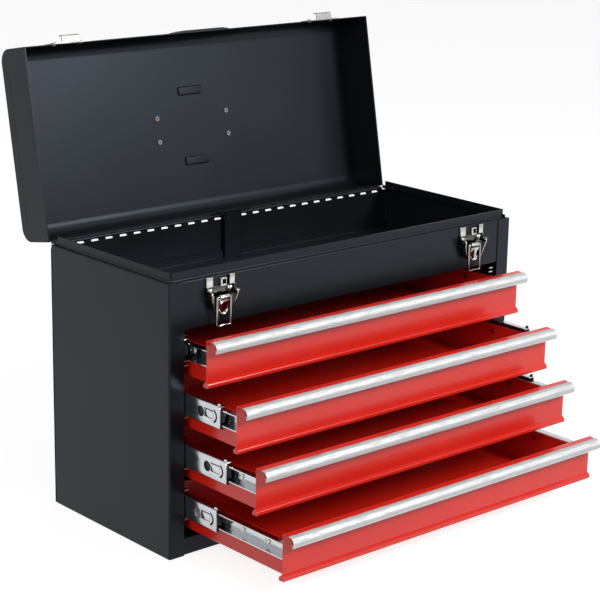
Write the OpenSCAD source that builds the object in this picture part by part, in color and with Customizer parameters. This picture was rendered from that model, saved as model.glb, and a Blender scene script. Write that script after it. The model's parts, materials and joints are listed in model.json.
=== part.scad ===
// Portable tool box: hinged lid over an open tray, four drawers on ball-bearing slides.
// Frame: X to the right, Y to the back, Z up, origin at the centre of the bottom face.
// Shown with the lid open at its stop, the drawers partly out, the latch bails and the handle hanging.

/* [Case] */
// Outer width of the case
case_w = 520; // [420:1:600]
// Outer depth of the case
case_d = 219.8; // [212:0.1:260]
// Height of the shoulder that the lid rests on
shoulder_h = 309.3; // [300:0.1:340]
// Sheet thickness of the case and the lid
sheet_t = 0.9; // [0.7:0.1:1.2]
// Width of each front stile
stile_w = 20; // [18:0.5:30]
// Height of the rail under the lowest drawer
rail_h = 20.2; // [14:0.1:21]
// Height of the apron over the top drawer
apron_h = 53.3; // [48:0.1:56]
// Inset of the raised rim behind the shoulder
rim_inset = 5.6; // [4:0.1:7]
// Height of the raised rim over the shoulder
rim_h = 10; // [6:0.5:14]
// Height of the tray's upturned flanges
tray_flange_h = 10; // [6:0.5:20]
// Depth of the channels that carry the slides
post_depth = 20; // [14:0.5:26]
// Distance of the rear channels' front face from the case's centre
post_rear_y = 60; // [40:1:70]

/* [Lid] */
// Height of the lid
lid_h = 51; // [44:0.5:60]
// Outer radius of the lid's long edges
lid_r = 16; // [10:0.5:20]
// Angle from closed to the open stop
lid_open_angle = 100.6; // [90:0.1:110]
// Gap between the closed lid and the shoulder
lid_gap = 0.3; // [0.2:0.1:0.8]
// Depth of the top's folded end flange
end_flange_h = 12; // [8:0.5:16]
// Width of the slot over the lock bar
lock_slot_w = 73; // [60:1:90]

/* [Hinge] */
// Distance of the hinge axis behind the case
hinge_back = 2.9; // [2.6:0.1:3.5]
// Distance of the hinge axis under the shoulder
hinge_drop = 1; // [0.8:0.1:1.2]
// Outer radius of the knuckles
knuckle_r = 2; // [1.8:0.1:2.2]
// Radius of the hinge rod
rod_r = 1; // [0.8:0.05:1.1]
// Pitch of the lid's knuckles
knuckle_pitch = 20; // [18:0.5:24]
// Height of the windows under the lid's knuckles
window_h = 1.4; // [1:0.1:4]

/* [Drawers] */
// Height of the lowest drawer's front over the floor, measured to the foot of its flat face
drawer_z = 32.6; // [31:0.1:34]
// Width of the drawer fronts
front_w = 476; // [470:0.5:478]
// Gap between the apron and the top drawer's flat face
top_gap = 3.1; // [2.5:0.1:4]
// Gap between a drawer's hem and the flat face under it
front_gap = 6.7; // [5:0.1:8]
// Sheet thickness of the drawers
drawer_t = 0.8; // [0.6:0.1:1]
// Height of the hem under the flat face
hem_h = 7; // [5:0.5:8]
// Height of the drawer sides
side_h = 40; // [30:0.5:41]
// Travel of the mid members of drawers 1 to 4, from the top down, as shown
mid_out = [0, 63, 74, 58]; // [0:0.5:105]
// Travel of drawers 1 to 4 past their mid members as shown
drawer_out = [36, 23.5, 44.5, 104]; // [0:0.5:105]

/* [Slides] */
// Length of the slide members
slide_l = 205; // [180:1:206]
// Height of the outer members
outer_h = 35; // [33:0.5:36]
// Height of the mid members
mid_h = 25.4; // [24:0.2:26]
// Height of the inner members
inner_h = 17.6; // [16:0.2:18]
// Width that a slide takes between the drawer's side and its channel
slide_w = 14.1; // [13.5:0.1:15]
// Height of the slide's centre over the foot of the flat face
slide_rise = 24.5; // [23:0.1:25]
// Balls in each row of a cage
balls = 4; // [2:1:6]

/* [Latches] */
// Distance of each latch from the centre
latch_x = 192; // [150:1:200]
// Width of a latch base
latch_w = 38.8; // [36:0.2:44]
// Distance of the lever's pivot under the shoulder
latch_drop = 18.3; // [17:0.1:20]
// Distance of the lever's pivot in front of the apron
latch_stand = 7.9; // [7.5:0.1:9]
// Length of the lever from its pivot to its tip
lever_l = 24; // [22:0.5:28]
// Length of the bail from its pivot to its cross wire
bail_l = 31.7; // [30:0.1:33]
// Radius of the bail's wire
bail_r = 1.25; // [1:0.05:1.5]

/* [Handle] */
// Distance between the handle brackets
bracket_span = 106.6; // [90:0.2:140]
// Height of the handle's pivot over the lid
handle_rise = 12.5; // [12.5:0.5:18]
// Distance from the pivot to the centre of the grip
handle_reach = 48; // [40:1:60]
// Radius of the grip
grip_r = 12; // [9:0.5:12]
// Radius of the handle's rod
handle_r = 4; // [3:0.5:5]

/* [Hidden] */
$fn = 48;

// Colours
charcoal = [0.16, 0.17, 0.18];
red = [0.78, 0.16, 0.12];
zinc = [0.72, 0.73, 0.74];
nickel = [0.82, 0.80, 0.76];
black = [0.06, 0.06, 0.06];

// Case places
half_w = case_w / 2;
half_d = case_d / 2;
bend_r = 2;
fold_r = 1.6;
front_y = -half_d;
apron_y = front_y + sheet_t;
back_y = half_d - sheet_t;
wall_x = half_w - sheet_t;
open_x = half_w - stile_w;
apron_z = shoulder_h - apron_h;
return_w = 12;
rim_back_y = half_d - 6;
floor_z = apron_z + sheet_t;
rim_corner_gap = 1.5;
corner_l = 3;
post_gap = 5;
pan_flange_h = 15;

// Hinge places
hinge_y = half_d + hinge_back;
hinge_z = shoulder_h - hinge_drop;
bore_gap = 0.05;
knuckle_w = knuckle_pitch / 2;
knuckle_gap = 0.3;
last_window = floor((half_w - 10) / knuckle_pitch);
window_z = hinge_z - knuckle_r - window_h;
rod_l = (2 * last_window + 2) * knuckle_pitch - knuckle_w;

// Lid places, in the closed lid
lid_z = shoulder_h + lid_gap;
lid_top = lid_z + lid_h;
lock_slot_h = 3;
lip_z = hinge_z + knuckle_r + 0.25;
lock_slot_z = lip_z + sheet_t + 0.2;
bead_w = 34.5;
bead_h = 9.5;
bead_t = 2;
bead_r = 2.6;
bead_ys = [44.9, -40.6];
bracket_y = 3.35;
bracket_rivet_gap = 28.5;
handle_z = lid_top + handle_rise;

// Drawer and slide places: the drawers share the height between the rail's and the apron's places
drawers = 4;
drawer_pitch = (apron_z - top_gap - drawer_z + hem_h + front_gap) / drawers;
face_h = drawer_pitch - hem_h - front_gap;
side_x = open_x + 1.3 - slide_w;
side_t = drawer_t;
slide_front = 3.5;
slide_back = slide_front + slide_l;
tray_l = slide_l;
inner_t = 1.2;
mid_t = 1;
outer_t = 1.2;
inner_reach = 9.7;
mid_reach = 11.9;
mid_start = 3;
outer_start = 4.2;
cage_t = 0.6;
ball_pitch = 22.5;
cage_l = balls * ball_pitch;
cage_start = 62;
inner_cage_start = 3.6;
outer_cage_start = 5.2;
ball_gap = 0.12;
screw_y = 36;
screw_head_r = 3.2;
rivet_ys = [75, 150];
hood_reach = 13;
hood_drop = 1.6;
hood_fall = 9.2;
hood_r = 5;
trim_t = 0.9;
trim_top = drawer_t - 0.2;
trim_outline = [[-9.2, 0], [-12.2, -0.1], [-15.7, -2.6], [-17.3, -6.2], [-16.8, -9.2], [-14.9, -11.6]];
clip_y = -16.3;
clip_z = -8.8;

// Lock bar places
bar_w = 26;
bar_t = 1.2;
bar_y = back_y - 6;
bar_lip = 3;
bar_top = shoulder_h + 7.2;
head_w = 47;
head_front = bar_y - 3.5;
hook_w = 10;
hook_drop = 6.5;
bar_gap = 0.8;

// Latch places
latch_y = apron_y - latch_stand;
latch_z = shoulder_h - latch_drop;
plate_t = 1.2;
pin_r = 1.5;
pin_gap = 0.05;
bail_y = latch_y;
bail_z = latch_z - 4;
bail_half_w = 9.3;
hook_t = 1.4;
hook_reach = 9.5;
hook_w_latch = 24;
hook_mid_y = front_y - (plate_t + hook_reach - hook_t) / 2;
bail_lean = hook_mid_y - bail_y;
hook_z = bail_z + sqrt(bail_l * bail_l - bail_lean * bail_lean) - bail_r - 0.1 - hook_t;
keeper_x = latch_x + 1;
keeper_w = 47;

// Sheet profiles: a path with rounded bends, thickened to its left
function unit(v) = v / norm(v);
function left(v) = [-v[1], v[0]];
function turned(v, a) = [v[0] * cos(a) - v[1] * sin(a), v[0] * sin(a) + v[1] * cos(a)];
function reversed(p) = [for (i = [len(p) - 1 : -1 : 0]) p[i]];
function bend(a, b, c, r, n) =
    let (u = unit(a - b), w = unit(c - b), half = acos(u * w) / 2)
    let (centre = b + unit(u + w) * r / sin(half), first = b + u * r / tan(half) - centre)
    let (side = cross(b - a, c - b) > 0 ? 1 : -1)
    [for (i = [0 : n]) centre + turned(first, side * (180 - 2 * half) * i / n)];
function rounded(p, r, n = 5) = [
    p[0],
    for (i = [1 : len(p) - 2]) each bend(p[i - 1], p[i], p[i + 1], r, n),
    p[len(p) - 1]
];
function thickened(p, t) = [
    for (i = [0 : len(p) - 1])
        let (n0 = left(unit(p[max(i, 1)] - p[max(i, 1) - 1])))
        let (n1 = left(unit(p[min(i + 1, len(p) - 1)] - p[min(i, len(p) - 2)])))
        let (m = unit(n0 + n1))
        p[i] + m * t / (m * n0)
];
function sheet_points(p, t, r) = let (q = rounded(p, r)) concat(q, reversed(thickened(q, t)));

module sheet(p, t, r = 1.2) {
    polygon(sheet_points(p, t, r));
}

// Extrusions: a (y, z) profile along X, an (x, z) profile along Y, an (x, y) profile along Z
module along_x(x0, x1) {
    translate([x0, 0, 0]) rotate([90, 0, 90]) linear_extrude(x1 - x0) children();
}

module along_y(y0, y1) {
    translate([0, y1, 0]) rotate([90, 0, 0]) linear_extrude(y1 - y0) children();
}

module along_z(z0, z1) {
    translate([0, 0, z0]) linear_extrude(z1 - z0) children();
}

module block(x, y, z) {
    translate([x[0], y[0], z[0]]) cube([x[1] - x[0], y[1] - y[0], z[1] - z[0]]);
}

module rod_x(x0, x1, r) {
    translate([x0, 0, 0]) rotate([0, 90, 0]) cylinder(r = r, h = x1 - x0);
}

module mirrored() {
    children();
    mirror([1, 0, 0]) children();
}

module sides(x) {
    for (s = [-1, 1]) translate([s * x, 0, 0]) children();
}

// A quarter bend of round bar, from up to the right
module elbow(bend, r) {
    rotate([90, 0, 0]) rotate_extrude(angle = 90) translate([bend, 0]) circle(r = r);
}

// Case ------------------------------------------------------------------------------------------

module side_panel_shape() {
    along_z(0, shoulder_h - bend_r)
        sheet([[open_x, front_y], [half_w, front_y], [half_w, back_y], [half_w - return_w, back_y]],
              sheet_t, bend_r);
    along_z(0, shoulder_h)
        sheet([[open_x, front_y], [half_w, front_y], [half_w, front_y + corner_l]], sheet_t, bend_r);
    block([half_w - rim_inset, half_w - 0.6], [front_y + 0.6, front_y + corner_l],
          [shoulder_h - sheet_t, shoulder_h]);
    along_y(front_y + corner_l, back_y)
        sheet([[half_w, shoulder_h - 2 * bend_r], [half_w, shoulder_h],
               [half_w - rim_inset, shoulder_h], [half_w - rim_inset, shoulder_h + 4]],
              sheet_t, fold_r);
    block([half_w - rim_inset - sheet_t, half_w - rim_inset],
          [front_y + rim_inset + rim_corner_gap, rim_back_y], [shoulder_h + 2, shoulder_h + rim_h]);
}

module side_panel_left() {
    color(charcoal) mirror([1, 0, 0]) side_panel_shape();
}

module side_panel_right() {
    color(charcoal) side_panel_shape();
}

// One curled tab of the back panel, in (y, z)
module case_knuckle_profile() {
    difference() {
        union() {
            translate([back_y, window_z - 1]) square([sheet_t, hinge_z - knuckle_r - window_z + 1]);
            translate([back_y, hinge_z - knuckle_r]) square([hinge_y - back_y, sheet_t]);
            translate([hinge_y, hinge_z]) circle(r = knuckle_r);
        }
        translate([hinge_y, hinge_z]) circle(r = rod_r + bore_gap);
    }
}

module back_panel() {
    color(charcoal) {
        block([-half_w, half_w], [back_y, half_d], [0, window_z]);
        for (k = [-last_window - 1 : last_window])
            translate([(k + 0.5) * knuckle_pitch, 0, 0])
                along_x(-knuckle_w / 2, knuckle_w / 2) case_knuckle_profile();
    }
}

module bottom_pan() {
    relief = bend_r - sheet_t;
    color(charcoal) difference() {
        union() {
            along_x(-wall_x, wall_x)
                sheet([[apron_y + post_gap - 0.4, rail_h], [apron_y, rail_h], [apron_y, 0],
                       [back_y - sheet_t, 0], [back_y - sheet_t, pan_flange_h]], sheet_t, fold_r);
            mirrored() block([wall_x - sheet_t, wall_x], [apron_y + 10, back_y - 10], [0, pan_flange_h]);
        }
        mirrored() for (y = [apron_y - 1, back_y - sheet_t - relief])
            block([wall_x - relief, half_w], [y, y + relief + 1], [-1, rail_h + 1]);
    }
}

module apron_panel() {
    rim_x = half_w - rim_inset - sheet_t - rim_corner_gap;
    color(charcoal) difference() {
        along_x(-rim_x, rim_x)
            sheet([[front_y + rim_inset, shoulder_h + rim_h], [front_y + rim_inset, shoulder_h],
                   [apron_y, shoulder_h], [apron_y, apron_z], [apron_y + return_w, apron_z]],
                  sheet_t, fold_r);
        sides(latch_x) latch_rivet_holes();
    }
}

module tray_floor() {
    tray_x = wall_x - 0.1;
    tray_back_y = back_y - sheet_t - 0.7;
    slot_x = bar_w / 2 + bar_gap;
    color(charcoal) difference() {
        union() {
            along_x(-tray_x, tray_x)
                sheet([[apron_y + fold_r + 0.1, floor_z], [tray_back_y, floor_z],
                       [tray_back_y, floor_z + tray_flange_h]], sheet_t, fold_r);
            along_y(apron_y + return_w, tray_back_y - 3)
                sheet([[-tray_x, floor_z + tray_flange_h], [-tray_x, floor_z],
                       [tray_x, floor_z], [tray_x, floor_z + tray_flange_h]], sheet_t, fold_r);
        }
        block([-slot_x, slot_x], [bar_y - bar_gap, bar_y + bar_lip + bar_gap], [floor_z - 1, floor_z + 4]);
    }
}

module slide_channels() {
    channel_x = open_x + 1.3;
    color(charcoal) mirrored()
        for (y = [apron_y + post_gap, post_rear_y])
            along_z(sheet_t, apron_z - 0.1)
                sheet([[wall_x - sheet_t, y + post_depth], [channel_x, y + post_depth],
                       [channel_x, y], [wall_x - sheet_t, y]], plate_t, fold_r);
}

module hinge_rod() {
    color(zinc) translate([0, hinge_y, hinge_z]) rod_x(-rod_l / 2, rod_l / 2, rod_r);
}

// Lock bar --------------------------------------------------------------------------------------

// A hook stands just over the top edge of a closed drawer's back
function hook_z_of(i) = foot_z(i) - hem_h + side_h + 1 + hook_drop;

module lock_bar() {
    bar_bottom = hook_z_of(drawers - 1) - 20;
    hook_y = tray_back_closed - 3.5;
    color(charcoal) {
        along_z(bar_bottom, bar_top)
            sheet([[-bar_w / 2, bar_y + bar_lip], [-bar_w / 2, bar_y], [bar_w / 2, bar_y],
                   [bar_w / 2, bar_y + bar_lip]], bar_t, 1.5);
        block([-head_w / 2, head_w / 2], [head_front, bar_y + bar_lip], [bar_top - 1.5, bar_top]);
        for (i = [0 : drawers - 1])
            along_x(-hook_w / 2, hook_w / 2)
                sheet([[hook_y, hook_z_of(i) - hook_drop], [hook_y, hook_z_of(i)],
                       [bar_y + 0.2, hook_z_of(i)]], bar_t, 1.5);
    }
}

// Straps that hold the lock bar to the back panel
module lock_bar_guides() {
    strap_x = bar_w / 2 + bar_gap;
    color(charcoal)
        for (z = [hook_z_of(3) + 16, hook_z_of(1) + 16])
            along_z(z, z + 12)
                sheet([[strap_x + 9, back_y], [strap_x, back_y], [strap_x, bar_y - bar_gap],
                       [-strap_x, bar_y - bar_gap], [-strap_x, back_y], [-strap_x - 9, back_y]], 1, 1.5);
}

// Slides ----------------------------------------------------------------------------------------

// Place of drawer i: height of the foot of its flat face, and its places along Y
function foot_z(i) = drawer_z + (drawers - 1 - i) * drawer_pitch;
function slide_z(i) = foot_z(i) + slide_rise;
function panel_y(i) = front_y - mid_out[i] - drawer_out[i];
tray_back_closed = front_y + drawer_t + tray_l;

// Channel profiles, measured outwards from the drawer's side and up from the slide's centre
module inner_profile() {
    sheet([[inner_reach, inner_h / 2], [0, inner_h / 2], [0, -inner_h / 2],
           [inner_reach, -inner_h / 2]], inner_t, fold_r);
}

module mid_profile() {
    sheet([[mid_start, -mid_h / 2], [mid_reach, -mid_h / 2], [mid_reach, mid_h / 2],
           [mid_start, mid_h / 2]], mid_t, fold_r);
}

module outer_profile() {
    sheet([[outer_start, -outer_h / 2], [slide_w, -outer_h / 2], [slide_w, outer_h / 2],
           [outer_start, outer_h / 2]], outer_t, 1.8);
}

// A channel of the given profile, mirrored to both sides of drawer i, from y0 to y1
module slide_pair(i, y0, y1) {
    mirrored() translate([side_x, 0, slide_z(i)]) along_y(y0, y1) children();
}

module slide_outers() {
    color(zinc) for (i = [0 : drawers - 1])
        difference() {
            slide_pair(i, front_y + slide_front, front_y + slide_back) outer_profile();
            for (y = channel_screw_ys())
                translate([0, y, slide_z(i)]) mirrored() channel_screw(-0.1, outer_t + 0.1, 0.1);
        }
}

function channel_screw_ys() = [apron_y + post_gap + post_depth / 2, post_rear_y + post_depth / 2];

// A countersunk head in the outer member's web, between two depths, widened by gap
module channel_screw(x0, x1, gap) {
    translate([side_x + slide_w - outer_t + x0, 0, 0]) rotate([0, 90, 0])
        cylinder(r1 = screw_head_r + gap - x0, r2 = screw_head_r + gap - x1, h = x1 - x0);
}

// Screws that hold the outer members to their channels
module channel_screws() {
    color(zinc) for (i = [0 : drawers - 1])
        for (y = channel_screw_ys())
            translate([0, y, slide_z(i)]) mirrored() channel_screw(0, outer_t - 0.05, 0);
}

// The mid members, each with a hole, an arc-shaped slot and a raised pad between slits behind its front end
module slide_mid(i) {
    front = front_y + slide_front - mid_out[i];
    hole_y = front + 32;
    hole_r = 5.8;
    arc_y = front + 12.5;
    arc_r = 8;
    arc_w = 2.4;
    pad_y = [front + 11.4, front + 25.4];
    pad_z = [-3, 5];
    pad_t = 0.5;
    slit_w = 0.9;
    web_x = side_x + mid_reach;
    color(zinc) difference() {
        union() {
            slide_pair(i, front, front + slide_l) mid_profile();
            translate([0, 0, slide_z(i)]) mirrored() block([web_x - mid_t / 2, web_x + pad_t], pad_y, pad_z);
        }
        translate([0, hole_y, slide_z(i)]) rod_x(-half_w, half_w, hole_r);
        for (z = [pad_z[0] - slit_w, pad_z[1]])
            translate([0, 0, slide_z(i)])
                block([-half_w, half_w], [pad_y[0], pad_y[1] + 1], [z, z + slit_w]);
        translate([0, arc_y, slide_z(i)]) intersection() {
            difference() {
                rod_x(-half_w, half_w, arc_r);
                rod_x(-half_w - 1, half_w + 1, arc_r - arc_w);
            }
            block([-half_w, half_w], [-arc_r, pad_y[0] - arc_y - 1], [-arc_r, arc_r]);
        }
    }
}

module slide_inner(i) {
    front = panel_y(i) + drawer_t;
    color(zinc) difference() {
        slide_pair(i, front, front + slide_l) inner_profile();
        for (y = concat([screw_y], rivet_ys))
            translate([0, panel_y(i) + y, slide_z(i)]) rod_x(-half_w, half_w, 2.1);
    }
}

// Screws and rivets that hold the inner members to the drawer's sides
module drawer_screws(i) {
    recess_l = 4.4;
    recess_w = 1;
    color(nickel) mirrored() {
        for (y = concat([screw_y], rivet_ys))
            translate([side_x, panel_y(i) + y, slide_z(i)]) difference() {
                union() {
                    rod_x(inner_t, inner_t + 1.6, y == screw_y ? 4.4 : 3.2);
                    rod_x(-side_t - 0.9, inner_t, 2);
                    rod_x(-side_t - 0.9, -side_t, 3);
                }
                if (y == screw_y)
                    for (a = [0, 90])
                        rotate([a, 0, 0]) block([inner_t + 0.8, inner_t + 2], [-recess_l / 2, recess_l / 2],
                                                [-recess_w / 2, recess_w / 2]);
            }
    }
}

// A ball cage, mirrored to both sides: a thin channel with a row of loose balls in each flange
module ball_cage(i, y0, reach, start, row, t, ball_r) {
    module balls_of(r) {
        for (n = [0 : balls - 1])
            for (s = [-1, 1])
                translate([side_x + (start + reach) / 2 - t, y0 + cage_l * (n + 0.5) / balls,
                           slide_z(i) + s * row])
                    sphere(r = r);
    }
    h = row + t / 2;
    color(black) mirrored() {
        difference() {
            translate([side_x, 0, slide_z(i)]) along_y(y0, y0 + cage_l)
                sheet([[start, -h], [reach, -h], [reach, h], [start, h]], t, 1.2);
            balls_of(ball_r + 0.05);
        }
        balls_of(ball_r);
    }
}

// Cages run at half the speed of the members that roll on them
module inner_ball_cage(i) {
    gap = (mid_h / 2 - mid_t) - inner_h / 2;
    row = mid_h / 2 - mid_t - gap / 2;
    y0 = front_y + slide_front - mid_out[i] - drawer_out[i] / 2 + cage_start;
    reach = (inner_reach + mid_reach - mid_t + cage_t) / 2;
    ball_cage(i, y0, reach, inner_cage_start, row, cage_t, gap / 2 - ball_gap);
}

module outer_ball_cage(i) {
    gap = (outer_h / 2 - outer_t) - mid_h / 2;
    row = outer_h / 2 - outer_t - gap / 2;
    y0 = front_y + slide_front - mid_out[i] / 2 + cage_start;
    reach = (mid_reach + slide_w - outer_t + cage_t) / 2;
    ball_cage(i, y0, reach, outer_cage_start, row, cage_t, gap / 2 - ball_gap);
}

// Drawers ---------------------------------------------------------------------------------------

// In each drawer's own (y, z): the flat face stands at y = 0 with its foot at z = 0
module at_drawer(i) {
    translate([0, panel_y(i), foot_z(i)]) children();
}

hem_front = -3.2;
hem_back = 5;

module drawer_front(i) {
    tip = [-hood_reach, face_h - hood_fall];
    corner = [-hood_reach, face_h - hood_drop];
    top = [0, face_h];
    foot = [0, -1];
    hood = concat([tip], bend(tip, corner, top, hood_r, 8), bend(corner, top, foot, 0.9, 5), [foot]);
    color(red) at_drawer(i) {
        along_x(-front_w / 2, front_w / 2) polygon(concat(hood, reversed(thickened(hood, drawer_t))));
        along_x(-front_w / 2 - 0.8, front_w / 2 + 0.8)
            polygon([[0, 0], [hem_front + 0.4, -2.4], [hem_front, -3.2], [hem_front, 0.8 - hem_h],
                     [hem_front + 0.8, -hem_h], [hem_back - 0.8, -hem_h], [hem_back, 0.8 - hem_h],
                     [hem_back, -3.6], [hem_back - 0.8, -2.8], [drawer_t, 0]]);
    }
}

// Pull trim: a bright extrusion over the hood's front, with a web that rests against it
module drawer_pull(i) {
    color(nickel) at_drawer(i) translate([0, 0, face_h + trim_top])
        along_x(-front_w / 2, front_w / 2) {
            sheet(trim_outline, trim_t, 1);
            translate([clip_y, clip_z]) square([-hood_reach - drawer_t - bore_gap - clip_y, trim_t]);
        }
}

module drawer_tray(i) {
    color(red) at_drawer(i) difference() {
        union() {
            along_y(drawer_t, tray_l + drawer_t)
                sheet([[-side_x, side_h - hem_h], [-side_x, -hem_h], [side_x, -hem_h],
                       [side_x, side_h - hem_h]], side_t, fold_r);
            block([-side_x + side_t, side_x - side_t], [tray_l, tray_l + drawer_t],
                  [-hem_h, side_h - hem_h]);
        }
        block([-half_w, half_w], [-1, hem_back], [-hem_h - 1, -2.8]);
        block([-half_w, half_w], [-1, hem_back], [-2.9, 0]);
        for (y = concat([screw_y], rivet_ys))
            translate([0, y, slide_rise]) rod_x(-half_w, half_w, 2.1);
    }
}

// Lid -------------------------------------------------------------------------------------------

// Turns a piece of the closed lid to the open stop
module opened() {
    translate([0, hinge_y, hinge_z]) rotate([-lid_open_angle, 0, 0])
        translate([0, -hinge_y, -hinge_z]) children();
}

// Side outline of the lid in (y, z), inset by t
module lid_outline(t) {
    r = lid_r - t;
    y = half_d - t - r;
    z = lid_top - t - r;
    translate([-half_d + t, lid_z]) square([case_d - 2 * t, z - lid_z]);
    translate([-y, lid_z]) square([2 * y, lid_top - t - lid_z]);
    for (s = [-1, 1]) translate([s * y, z]) circle(r = r);
}

// One curled tab of the lid's rear wall, in (y, z)
module lid_knuckle_profile() {
    difference() {
        union() {
            translate([back_y, hinge_z + knuckle_r - sheet_t]) square([hinge_y - back_y, sheet_t]);
            translate([hinge_y, hinge_z]) circle(r = knuckle_r);
        }
        translate([hinge_y, hinge_z]) circle(r = rod_r + bore_gap);
    }
}

module bead_shape(inset) {
    r = bead_r - inset;
    half_l = bead_w / 2 - bead_r;
    half_h = bead_h / 2 - bead_r;
    square([2 * (half_l + r), 2 * half_h], center = true);
    square([2 * half_l, 2 * (half_h + r)], center = true);
    for (sx = [-1, 1]) for (sy = [-1, 1]) translate([sx * half_l, sy * half_h]) circle(r = r);
}

function bracket_rivet_ys() = [bracket_y - bracket_rivet_gap / 2, bracket_y + bracket_rivet_gap / 2];

end_flange_y = [25 - half_d, half_d - 19];

module lid_skin() {
    color(charcoal) opened() difference() {
        union() {
            along_x(-wall_x, wall_x) difference() {
                lid_outline(0);
                lid_outline(sheet_t);
            }
            mirrored() along_x(wall_x, half_w) intersection() {
                lid_outline(0);
                translate([end_flange_y[0], lid_top - end_flange_h])
                    square([end_flange_y[1] - end_flange_y[0], end_flange_h]);
            }
            for (y = bead_ys)
                translate([0, y, 0]) along_z(lid_top - sheet_t - bead_t, lid_top - sheet_t) bead_shape(0);
            for (k = [-last_window : last_window])
                translate([k * knuckle_pitch, 0, 0])
                    along_x(-knuckle_w / 2 + knuckle_gap, knuckle_w / 2 - knuckle_gap) lid_knuckle_profile();
            block([-rod_l / 2, rod_l / 2], [back_y, hinge_y], [lip_z, lip_z + sheet_t]);
        }
        for (y = bead_ys)
            translate([0, y, 0]) along_z(lid_top - bead_t, lid_top + 1) bead_shape(sheet_t);
        block([-lock_slot_w / 2, lock_slot_w / 2], [back_y - 1, half_d + 0.5],
              [lock_slot_z, lock_slot_z + lock_slot_h]);
        for (y = bracket_rivet_ys())
            sides(bracket_span / 2) translate([0, y, lid_top - 5]) cylinder(r = 2.1, h = 10);
        for (s = [-1, 1]) for (dx = keeper_rivet_xs)
            translate([s * keeper_x + dx, front_y - 5, keeper_rivet_z]) rotate([-90, 0, 0])
                cylinder(r = keeper_rivet_r + 0.1, h = 10);
    }
}

module lid_end_shape() {
    opened() {
        along_x(wall_x - sheet_t, wall_x) lid_outline(sheet_t + 0.1);
        along_x(wall_x, half_w) difference() {
            lid_outline(0);
            translate([end_flange_y[0] - 0.3, lid_top - end_flange_h - 0.3])
                square([end_flange_y[1] - end_flange_y[0] + 0.6, end_flange_h + 1]);
        }
    }
}

module lid_end_right() {
    color(charcoal) lid_end_shape();
}

module lid_end_left() {
    color(charcoal) mirror([1, 0, 0]) lid_end_shape();
}

keeper_z = lid_z + 5;
keeper_h = 20;
keeper_rivet_xs = [-18, 18];
keeper_rivet_r = 1.5;
keeper_rivet_z = keeper_z + keeper_h / 2;
name_plate_w = 80;
name_plate_t = 2.4;

// A riveted plate with a lanced hook that the latch bail catches
module keepers() {
    color(nickel) opened() sides(keeper_x) difference() {
        union() {
            block([-keeper_w / 2, keeper_w / 2], [front_y - plate_t, front_y],
                  [keeper_z, keeper_z + keeper_h]);
            along_x(-hook_w_latch / 2, hook_w_latch / 2)
                sheet([[front_y - hook_reach, hook_z + 6], [front_y - hook_reach, hook_z],
                       [front_y - plate_t + 0.2, hook_z]], hook_t, 2);
        }
        block([-hook_w_latch / 2, hook_w_latch / 2], [front_y - 3, front_y + 1],
              [hook_z + hook_t + 2, hook_z + hook_t + 9.6]);
        for (dx = keeper_rivet_xs)
            translate([dx, front_y - 5, keeper_rivet_z]) rotate([-90, 0, 0])
                cylinder(r = keeper_rivet_r + 0.1, h = 10);
    }
}

// A bare plate with bevelled ends
module name_plate() {
    half = name_plate_w / 2;
    top = front_y - name_plate_t;
    color(black) opened() along_z(lid_z + 10, lid_z + 25)
        polygon([[-half, front_y], [0.8 - half, front_y - 1], [10 - half, top], [half - 10, top],
                 [half - 0.8, front_y - 1], [half, front_y]]);
}

// Hollow rivets through the handle brackets, and the keepers' rivets
module lid_rivets() {
    color(zinc) opened() {
        for (y = bracket_rivet_ys())
            sides(bracket_span / 2) translate([0, y, 0]) difference() {
                union() {
                    along_z(lid_top - sheet_t - 1, lid_top - sheet_t) circle(r = 2.9);
                    along_z(lid_top - sheet_t, lid_top + plate_t) circle(r = 2);
                    along_z(lid_top + plate_t, lid_top + plate_t + 1.2) circle(r = 3.6);
                }
                along_z(lid_top - sheet_t - 2, lid_top - sheet_t + 1) circle(r = 1.3);
            }
        for (s = [-1, 1]) for (dx = keeper_rivet_xs)
            translate([s * keeper_x + dx, front_y, keeper_rivet_z]) rotate([-90, 0, 0]) {
                translate([0, 0, -plate_t - 1]) cylinder(r = 2.8, h = 1);
                translate([0, 0, -plate_t]) cylinder(r = keeper_rivet_r, h = plate_t + sheet_t);
                translate([0, 0, sheet_t]) cylinder(r = 2.4, h = 0.7);
            }
    }
}

// Handle ----------------------------------------------------------------------------------------

bracket_w = 16;
bracket_l = 42;
boss_r = 7.5;

module handle_brackets() {
    color(charcoal) opened() sides(bracket_span / 2) difference() {
        union() {
            block([-bracket_w / 2, bracket_w / 2], [bracket_y - bracket_l / 2, bracket_y + bracket_l / 2],
                  [lid_top, lid_top + plate_t]);
            block([-bracket_w / 2, bracket_w / 2], [bracket_y - boss_r, bracket_y + boss_r],
                  [lid_top, handle_z]);
            translate([0, bracket_y, handle_z]) rod_x(-bracket_w / 2, bracket_w / 2, boss_r);
        }
        translate([0, bracket_y, handle_z]) rod_x(-bracket_w, bracket_w, handle_r + bore_gap);
        for (y = bracket_rivet_ys())
            translate([0, y, lid_top - 1]) cylinder(r = 2.1, h = 4);
    }
}

// Places the handle on its pivot, hanging plumb: its own frame has the grip at z = -handle_reach
module at_handle() {
    pivot = turned([bracket_y - hinge_y, handle_z - hinge_z], -lid_open_angle);
    translate([0, hinge_y + pivot[0], hinge_z + pivot[1]]) children();
}

arm_x = bracket_span / 2 + bracket_w / 2 + 7;
elbow_r = 6;

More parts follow.
